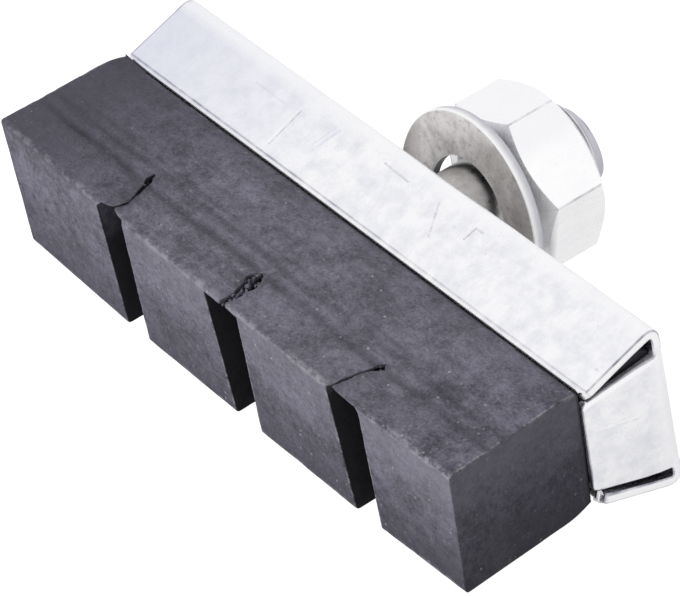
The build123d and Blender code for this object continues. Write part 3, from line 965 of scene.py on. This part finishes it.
# %% [markdown]
# The washer is punched from sheet. Its faces are dull and stained, with painted shade on the left, and its rim is
# worn bright, with a painted grey shade on its far edge and painted shade inside its hole. It hangs on the stud by
# its hole and leans, so it is made flat, with rounded edges, and then tilted into place.

# %% Washer
washer_radius = 6.5
washer_hole_radius = 3.6
washer_thickness = 0.7
washer_place = 2.5
washer_lean = math.radians(-11.1)
washer_twist = math.radians(2.0)
washer_hang = -0.349
washer = bmesh.new()
rim_mark = washer.verts.layers.float.new("edge")
shade_mark = washer.verts.layers.float.new("shade")
section = (
    (washer_hole_radius, 0),
    (washer_radius, 0),
    (washer_radius, washer_thickness),
    (washer_hole_radius, washer_thickness),
)
points = [washer.verts.new((radius, y, 0)) for radius, y in section]
lines = [washer.edges.new((points[i - 1], points[i])) for i in range(len(points))]
bmesh.ops.spin(
    washer, geom=points + lines, cent=(0, 0, 0), axis=(0, 1, 0), angle=2 * math.pi, steps=96, use_merge=True,
)
bmesh.ops.remove_doubles(washer, verts=washer.verts, dist=0.001)
bmesh.ops.recalc_face_normals(washer, faces=washer.faces)
rims = [e for e in washer.edges if e.calc_face_angle() > 1]
bmesh.ops.bevel(
    washer, geom=rims, offset=0.12, offset_type="OFFSET", segments=3, profile=0.5, affect="EDGES",
    clamp_overlap=True, material=-1,
)
# Painted shade: the far edge of the rim and the inside of the hole are marked for shade.
for vert in washer.verts:
    radius = math.hypot(vert.co.x, vert.co.z)
    near = vert.co.y < washer_thickness / 2
    if radius > washer_radius - 0.1:
        vert[rim_mark] = 1.0 if near else 0.0
        vert[shade_mark] = 0.0 if near else 0.5
    elif radius < washer_hole_radius + 0.1:
        vert[rim_mark] = 1.0 if near and radius > washer_hole_radius + 0.01 else 0.0
        vert[shade_mark] = 0.0 if near and radius > washer_hole_radius + 0.01 else 1.0
    if vert.co.y > washer_thickness - 0.001:
        vert[rim_mark] = 1.0
tilt = Matrix.Rotation(washer_lean, 4, "X") @ Matrix.Rotation(washer_twist, 4, "Z")
bmesh.ops.transform(
    washer, matrix=Matrix.Translation((0, washer_place, washer_hang)) @ tilt, verts=washer.verts,
)
washer_finish, tree, shader, place, colour = plating(
    "washer_finish", (0.87, 0.84, 0.82), (0.64, 0.615, 0.6), 0.48, 0.7, (1, 1, 1)
)
shader.inputs["Metallic"].default_value = 0.85
stains = cloudy(tree, place, 1.5, 5.0, 0.75)
colour = tint(tree, between(tree, stains, 0.5, 0.7, 0.0, 0.7), colour, (0.4, 0.37, 0.35))
axes = add_node(tree, "ShaderNodeSeparateXYZ", {"Vector": place})
# Painted shade on the left side of the washer, near the flange.
colour = tint(tree, between(tree, axes.outputs["X"], -4.4, -6.0, 0.0, 0.75), colour, (0.3, 0.265, 0.25))
bright = add_node(tree, "ShaderNodeAttribute", attribute_name="edge").outputs["Fac"]
colour = tint(tree, bright, colour, (0.93, 0.93, 0.94))
# Painted shade: grey on the rim's far edge and near black inside the hole.
painted_rim_and_hole_shade = add_node(tree, "ShaderNodeAttribute", attribute_name="shade").outputs["Fac"]
colour = tint(tree, between(tree, painted_rim_and_hole_shade, 0.0, 0.5), colour, (0.58, 0.58, 0.65))
colour = tint(tree, between(tree, painted_rim_and_hole_shade, 0.5, 1.0), colour, (0.1, 0.095, 0.1))
tree.links.new(colour, shader.inputs["Base Color"])
washer_piece = make_piece("washer_ring", washer, "washer", washer_finish)

# %% [markdown]
# A pale floor carries a faint shadow. The world is white where the camera and the metal look at it, and
# lights the pad more gently than that. One large soft lamp stands before the braking face.

# %% Floor and light
scene.view_settings.view_transform = "Standard"
floor_mesh = bmesh.new()
bmesh.ops.create_grid(floor_mesh, x_segments=1, y_segments=1, size=3)
bmesh.ops.translate(floor_mesh, vec=(0, 0, cad_box[0][2]), verts=floor_mesh.verts)
floor_data = bpy.data.meshes.new("floor")
floor_mesh.to_mesh(floor_data)
floor_mesh.free()
floor = bpy.data.objects.new("floor", floor_data)
scene.collection.objects.link(floor)
floor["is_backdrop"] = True
floor_finish, tree, shader, place = new_finish("floor_finish")
tree.nodes.remove(shader)
seen = add_node(tree, "ShaderNodeLightPath")
to_camera = sums(tree, "MULTIPLY", seen.outputs["Is Camera Ray"], 0.88)
to_metal = sums(tree, "MULTIPLY", seen.outputs["Is Glossy Ray"], 0.68)
strength = sums(tree, "ADD", sums(tree, "MAXIMUM", to_camera, to_metal), 0.1)
glow = add_node(tree, "ShaderNodeEmission", {"Color": (1, 1, 1, 1), "Strength": strength})
matt = add_node(tree, "ShaderNodeBsdfDiffuse", {"Color": (0.25, 0.25, 0.25, 1)})
lit = add_node(tree, "ShaderNodeAddShader")
tree.links.new(matt.outputs[0], lit.inputs[0])
tree.links.new(glow.outputs[0], lit.inputs[1])
tree.links.new(lit.outputs[0], tree.nodes["Material Output"].inputs["Surface"])
floor_data.materials.append(floor_finish)

world = bpy.data.worlds.new("studio")
scene.world = world
world.use_nodes = True
tree = world.node_tree
seen = add_node(tree, "ShaderNodeLightPath")
direct = sums(tree, "MAXIMUM", seen.outputs["Is Camera Ray"], seen.outputs["Is Glossy Ray"])
direct = sums(tree, "MAXIMUM", direct, seen.outputs["Is Transmission Ray"])
strength = between(tree, direct, 0.0, 1.0, 0.3, 1.0)
tree.nodes["Background"].inputs["Color"].default_value = (1, 1, 1, 1)
tree.links.new(strength, tree.nodes["Background"].inputs["Strength"])


def soft_lamp(name, direction, distance, size, power):
    """A square lamp that faces the pad from a direction."""
    data = bpy.data.lights.new(name, "AREA")
    data.size = size
    data.energy = power
    lamp = bpy.data.objects.new(name, data)
    away = Vector(direction).normalized()
    lamp.location = view_target + away * distance
    lamp.rotation_mode = "QUATERNION"
    lamp.rotation_quaternion = away.to_track_quat("Z", "Y")
    lamp.visible_glossy = False
    scene.collection.objects.link(lamp)


soft_lamp("key", (-0.35, -0.73, 0.64), 0.45, 0.3, 1.9)

# %% Size and finish
size = {"cad": [list(corner) for corner in cad_box], "visual": [list(corner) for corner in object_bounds()]}
